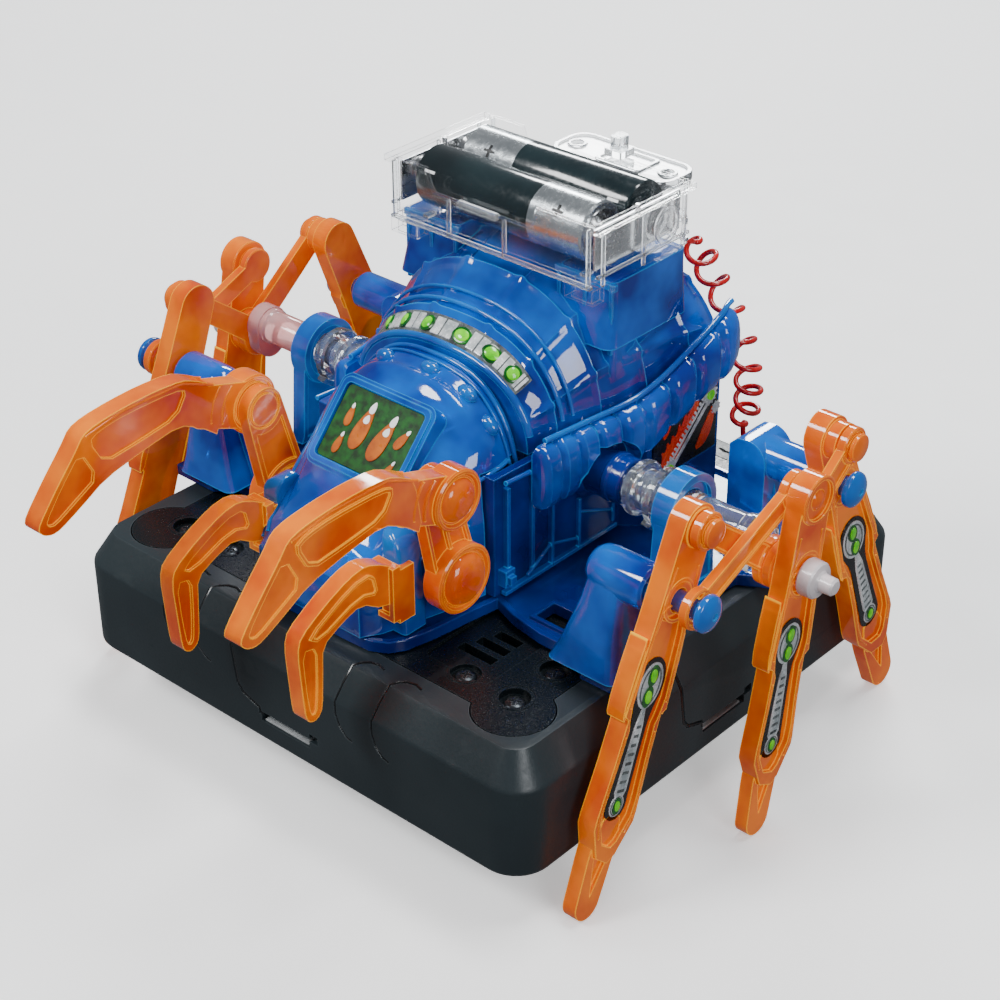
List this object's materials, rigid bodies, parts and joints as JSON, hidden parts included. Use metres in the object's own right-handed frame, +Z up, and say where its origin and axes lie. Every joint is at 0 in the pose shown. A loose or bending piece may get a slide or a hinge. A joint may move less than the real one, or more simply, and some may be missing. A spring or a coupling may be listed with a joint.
{
  "type": "hexapod spider robot",
  "caption": "Crank-driven walking spider toy on a box base: six swinging legs with links, two posable arms, small fangs, ribbed body, battery tray with switch and a coiled wire.",
  "frame": {"origin": "centre of the flat underside of the base box", "axes": "+Z up, the spider faces -Y, its right-hand legs are on +X; the toes reach 13 mm below the origin"},
  "size_m": [0.193, 0.1784, 0.1287],
  "materials": {
    "slate_plastic": "satin black-slate moulding",
    "blue_plastic": "glossy translucent blue",
    "orange_plastic": "glossy translucent orange",
    "clear_plastic": "clear polystyrene",
    "white_plastic": "white nylon",
    "battery_jacket": "glossy sleeve over a steel can",
    "contact_metal": "nickel-plated strip",
    "motor_case": "plated can",
    "red_wire": "PVC insulation",
    "green_label": "printed sticker",
    "silver_label": "printed sticker",
    "dark_label": "printed sticker"
  },
  "bodies": {
    "chassis": {"base_shell": "slate_plastic", "base_cover": "slate_plastic", "chassis_deck": "blue_plastic", "gearbox_housing": "blue_plastic", "abdomen_shell": "blue_plastic", "head_shell": "blue_plastic", "battery_tray": "clear_plastic", "battery_near": "battery_jacket", "battery_far": "battery_jacket", "contact_left": "contact_metal", "contact_right": "contact_metal", "switch_housing": "clear_plastic", "coil_wire": "red_wire", "motor": "motor_case", "motor_cradle": "blue_plastic", "face_label": "green_label", "neck_label": "silver_label", "front_post_left": "blue_plastic", "rear_post_left": "blue_plastic", "crank_post_left": "blue_plastic", "crank_bush_left": "clear_plastic", "front_pivot_cap_left": "blue_plastic", "rear_pivot_cap_left": "blue_plastic", "flank_band_left": "blue_plastic", "flame_label_left": "dark_label", "small_arm_left": "orange_plastic", "front_post_right": "blue_plastic", "rear_post_right": "blue_plastic", "crank_post_right": "blue_plastic", "crank_bush_right": "clear_plastic", "front_pivot_cap_right": "blue_plastic", "rear_pivot_cap_right": "blue_plastic", "flank_band_right": "blue_plastic", "flame_label_right": "dark_label", "small_arm_right": "orange_plastic"},
    "crank": {"crank_shaft": "clear_plastic", "crank_gear": "white_plastic", "crank_arm_left": "clear_plastic", "crank_arm_right": "clear_plastic", "crank_pin_cap_left": "white_plastic", "crank_pin_cap_right": "white_plastic"},
    "reduction_gear": {"reduction_gear": "white_plastic"},
    "motor_pinion": {"motor_pinion": "white_plastic"},
    "switch_knob": {"switch_knob": "clear_plastic"},
    "front_leg_left": {"front_leg_left": "orange_plastic"},
    "front_link_left": {"front_link_left": "orange_plastic"},
    "rear_leg_left": {"rear_leg_left": "orange_plastic"},
    "rear_link_left": {"rear_link_left": "orange_plastic"},
    "mid_leg_left": {"mid_leg_left": "orange_plastic"},
    "rocker_link_left": {"rocker_link_left": "orange_plastic"},
    "shoulder_link_left": {"shoulder_link_left": "orange_plastic"},
    "forearm_left": {"forearm_left": "orange_plastic"},
    "front_leg_right": {"front_leg_right": "orange_plastic"},
    "front_link_right": {"front_link_right": "orange_plastic"},
    "rear_leg_right": {"rear_leg_right": "orange_plastic"},
    "rear_link_right": {"rear_link_right": "orange_plastic"},
    "mid_leg_right": {"mid_leg_right": "orange_plastic"},
    "rocker_link_right": {"rocker_link_right": "orange_plastic"},
    "shoulder_link_right": {"shoulder_link_right": "orange_plastic"},
    "forearm_right": {"forearm_right": "orange_plastic"}
  },
  "joints": [
    {"name": "crank_turn", "type": "hinge", "parent": "chassis", "child": "crank", "pos_m": [0, 0, 0.056], "axis": [1, 0, 0], "range_deg": [-50, 50]},
    {"name": "reduction_gear_turn", "type": "hinge", "parent": "chassis", "child": "reduction_gear", "pos_m": [0.0106, 0.0155, 0.05], "axis": [1, 0, 0], "range_deg": [-183, 183]},
    {"name": "motor_pinion_turn", "type": "hinge", "parent": "chassis", "child": "motor_pinion", "pos_m": [0.0106, 0.028, 0.048], "axis": [1, 0, 0], "range_deg": [-528.12, 528.12]},
    {"name": "front_leg_swing_left", "type": "hinge", "parent": "chassis", "child": "front_leg_left", "pos_m": [-0.0732, -0.03, 0.056], "axis": [1, 0, 0], "range_deg": [-9, 9]},
    {"name": "front_link_turn_left", "type": "hinge", "parent": "front_leg_left", "child": "front_link_left", "pos_m": [-0.0786, -0.02401, 0.07083], "axis": [1, 0, 0], "range_deg": [-11.1, 11.1]},
    {"name": "rear_leg_swing_left", "type": "hinge", "parent": "chassis", "child": "rear_leg_left", "pos_m": [-0.0732, 0.03, 0.056], "axis": [1, 0, 0], "range_deg": [-9, 9]},
    {"name": "rear_link_turn_left", "type": "hinge", "parent": "rear_leg_left", "child": "rear_link_left", "pos_m": [-0.0812, 0.02401, 0.07083], "axis": [1, 0, 0], "range_deg": [-11.1, 11.1]},
    {"name": "mid_leg_swing_left", "type": "hinge", "parent": "crank", "child": "mid_leg_left", "pos_m": [-0.084, 0, 0.052], "axis": [1, 0, 0], "range_deg": [-40.5, 40.5]},
    {"name": "rocker_swing_left", "type": "hinge", "parent": "chassis", "child": "rocker_link_left", "pos_m": [-0.0812, -0.03, 0.056], "axis": [1, 0, 0], "range_deg": [0, 2.5]},
    {"name": "shoulder_swing_left", "type": "hinge", "parent": "chassis", "child": "shoulder_link_left", "pos_m": [-0.0246, -0.042, 0.046], "axis": [1, 0, 0], "range_deg": [-15, 25]},
    {"name": "elbow_swing_left", "type": "hinge", "parent": "shoulder_link_left", "child": "forearm_left", "pos_m": [-0.0282, -0.048, 0.0703], "axis": [1, 0, 0], "range_deg": [-35, 20]},
    {"name": "front_leg_swing_right", "type": "hinge", "parent": "chassis", "child": "front_leg_right", "pos_m": [0.0732, -0.03, 0.056], "axis": [1, 0, 0], "range_deg": [-9, 9]},
    {"name": "front_link_turn_right", "type": "hinge", "parent": "front_leg_right", "child": "front_link_right", "pos_m": [0.0786, -0.02401, 0.07083], "axis": [1, 0, 0], "range_deg": [-11.1, 11.1]},
    {"name": "rear_leg_swing_right", "type": "hinge", "parent": "chassis", "child": "rear_leg_right", "pos_m": [0.0732, 0.03, 0.056], "axis": [1, 0, 0], "range_deg": [-9, 9]},
    {"name": "rear_link_turn_right", "type": "hinge", "parent": "rear_leg_right", "child": "rear_link_right", "pos_m": [0.0812, 0.02401, 0.07083], "axis": [1, 0, 0], "range_deg": [-11.1, 11.1]},
    {"name": "mid_leg_swing_right", "type": "hinge", "parent": "crank", "child": "mid_leg_right", "pos_m": [0.084, 0, 0.052], "axis": [1, 0, 0], "range_deg": [-40.5, 40.5]},
    {"name": "rocker_swing_right", "type": "hinge", "parent": "chassis", "child": "rocker_link_right", "pos_m": [0.0812, -0.03, 0.056], "axis": [1, 0, 0], "range_deg": [0, 2.5]},
    {"name": "shoulder_swing_right", "type": "hinge", "parent": "chassis", "child": "shoulder_link_right", "pos_m": [0.0246, -0.042, 0.046], "axis": [1, 0, 0], "range_deg": [-15, 25]},
    {"name": "elbow_swing_right", "type": "hinge", "parent": "shoulder_link_right", "child": "forearm_right", "pos_m": [0.0282, -0.048, 0.0703], "axis": [1, 0, 0], "range_deg": [-35, 20]},
    {"name": "switch_slide", "type": "slide", "parent": "chassis", "child": "switch_knob", "axis": [1, 0, 0], "range_m": [0, 0.005]}
  ],
  "couplings": [
    {"joint": "reduction_gear_turn", "follows": "crank_turn", "ratio": -3.5},
    {"joint": "motor_pinion_turn", "follows": "crank_turn", "ratio": 10.062},
    {"joint": "front_leg_swing_left", "follows": "crank_turn", "ratio": -0.17},
    {"joint": "front_link_turn_left", "follows": "crank_turn", "ratio": 0.212},
    {"joint": "rear_leg_swing_left", "follows": "crank_turn", "ratio": -0.17},
    {"joint": "rear_link_turn_left", "follows": "crank_turn", "ratio": 0.212},
    {"joint": "mid_leg_swing_left", "follows": "crank_turn", "ratio": -0.8},
    {"joint": "front_leg_swing_right", "follows": "crank_turn", "ratio": -0.17},
    {"joint": "front_link_turn_right", "follows": "crank_turn", "ratio": 0.212},
    {"joint": "rear_leg_swing_right", "follows": "crank_turn", "ratio": -0.17},
    {"joint": "rear_link_turn_right", "follows": "crank_turn", "ratio": 0.212},
    {"joint": "mid_leg_swing_right", "follows": "crank_turn", "ratio": -0.8}
  ]
}
